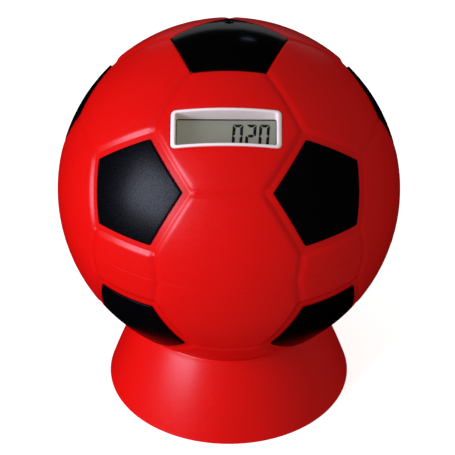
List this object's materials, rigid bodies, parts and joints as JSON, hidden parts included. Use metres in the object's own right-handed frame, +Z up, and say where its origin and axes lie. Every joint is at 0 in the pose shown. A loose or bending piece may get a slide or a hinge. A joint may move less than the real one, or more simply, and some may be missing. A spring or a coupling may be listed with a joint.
{
  "type": "football coin bank",
  "caption": "Ball-shaped coin-counting bank with pentagon panels, a recessed number display and a flared ring stand.",
  "frame": {"origin": "centre of the stand's foot, on the table", "axes": "+Z up, -Y towards the display, +X to the right of the display as it is read"},
  "size_m": [0.165, 0.165, 0.1921],
  "materials": {
    "red_abs": "moulded, semi-gloss",
    "black_panel": "fine spark-eroded texture",
    "black_cover": "satin gloss",
    "white_abs": "moulded, satin",
    "clear_acrylic": "polished",
    "lcd_cell": "polarising film over glass",
    "zebra_rubber": "layered silicone",
    "circuit_board": "solder mask on glass laminate",
    "zinc_steel": "zinc plated",
    "nickel_plate": "nickel plated",
    "spring_bronze": "bare strip",
    "tray_abs": "moulded, matt",
    "natural_pom": "moulded acetal",
    "red_lead": "PVC insulation",
    "grey_lead": "PVC insulation",
    "red_button": "moulded",
    "stopper_pvc": "soft PVC, matt"
  },
  "bodies": {
    "base": {"stand": "red_abs"},
    "ball": {"upper_shell": "red_abs", "lower_shell": "red_abs", "shell_screws": "zinc_steel", "upper_panel_1": "black_panel", "upper_panel_2": "black_panel", "upper_panel_3": "black_panel", "upper_panel_4": "black_panel", "upper_panel_5": "black_panel", "lower_panel_1": "black_panel", "lower_panel_2": "black_panel", "lower_panel_3": "black_panel", "lower_panel_4": "black_panel", "lower_panel_5": "black_panel", "display_bezel": "white_abs", "display_window": "clear_acrylic", "lcd_panel": "lcd_cell", "contact_strip": "zebra_rubber", "display_carrier": "white_abs", "main_board": "circuit_board", "display_screws": "zinc_steel", "battery_tray": "tray_abs", "cell_contacts": "nickel_plate", "button_cell_1": "nickel_plate", "button_cell_2": "nickel_plate", "battery_wires": "red_lead", "reset_switch": "tray_abs", "coin_chute": "natural_pom", "chute_cover": "natural_pom", "chute_screws": "zinc_steel", "sensor_board": "circuit_board", "sensor_wires": "grey_lead", "lever_pin": "zinc_steel", "lever_spring": "nickel_plate"},
    "battery_cover": {"battery_cover": "black_cover"},
    "cover_screw": {"cover_screw": "zinc_steel"},
    "coin_lever": {"coin_lever": "natural_pom", "lever_wiper": "spring_bronze"},
    "reset_button": {"reset_button": "red_button"},
    "coin_stopper": {"coin_stopper": "stopper_pvc"}
  },
  "joints": [
    {"name": "ball_lift", "type": "slide", "parent": "base", "child": "ball", "axis": [0, 0, 1], "range_m": [0, 0.08]},
    {"name": "battery_cover_lift", "type": "slide", "parent": "ball", "child": "battery_cover", "axis": [0, 0, 1], "range_m": [0, 0.03]},
    {"name": "cover_screw_turn", "type": "hinge", "parent": "battery_cover", "child": "cover_screw", "pos_m": [0, 0.019, 0.181], "axis": [0, 0, 1], "continuous": true},
    {"name": "coin_lever_swing", "type": "hinge", "parent": "ball", "child": "coin_lever", "pos_m": [-0.04054, 0.02007, 0.16205], "axis": [-0.4671, 0.6429, -0.6071], "range_deg": [0, 36], "stiffness_Nm_per_rad": 0.002, "springref_deg": -8.59},
    {"name": "reset_button_press", "type": "slide", "parent": "ball", "child": "reset_button", "axis": [0, 0, -1], "range_m": [0, 0.0006], "stiffness_N_per_m": 800, "springref_m": -0.0003},
    {"name": "coin_stopper_pull", "type": "slide", "parent": "ball", "child": "coin_stopper", "axis": [0, 0, -1], "range_m": [0, 0.014]}
  ]
}
